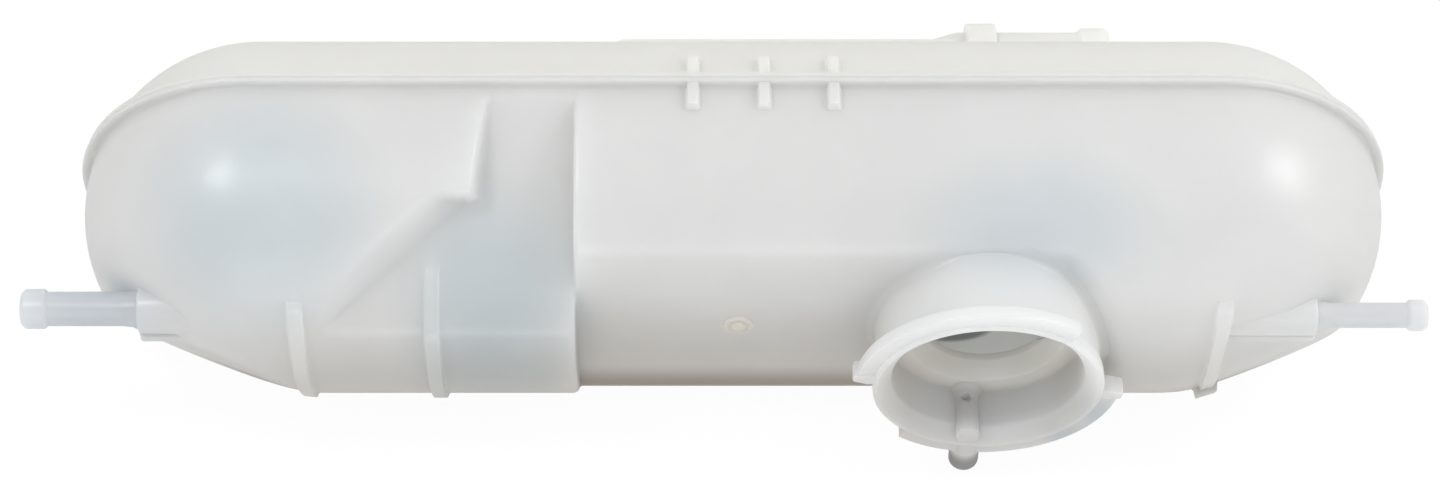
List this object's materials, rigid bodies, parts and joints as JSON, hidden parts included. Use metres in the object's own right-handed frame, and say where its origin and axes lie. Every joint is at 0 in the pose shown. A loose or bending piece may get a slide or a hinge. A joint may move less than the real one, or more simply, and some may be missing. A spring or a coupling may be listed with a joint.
{
  "type": "coolant expansion tank",
  "caption": "Long round-ended coolant expansion tank of milky plastic, welded along a flange, with a wide open filler neck, end vent ports, an overflow nipple and a hose outlet.",
  "frame": {"origin": "middle of the flat back on which the tank lies", "axes": "+X along the barrel towards the end with the filler neck, -Y out of the filler neck, +Z away from the flat back"},
  "size_m": [0.3649, 0.1279, 0.0914],
  "materials": {
    "upper_half": "milky translucent natural plastic with a soft moulded sheen",
    "lower_half": "milky translucent natural plastic, a little warmer"
  },
  "bodies": {
    "root": {"upper_half": "upper_half", "lower_half": "lower_half"}
  },
  "joints": []
}
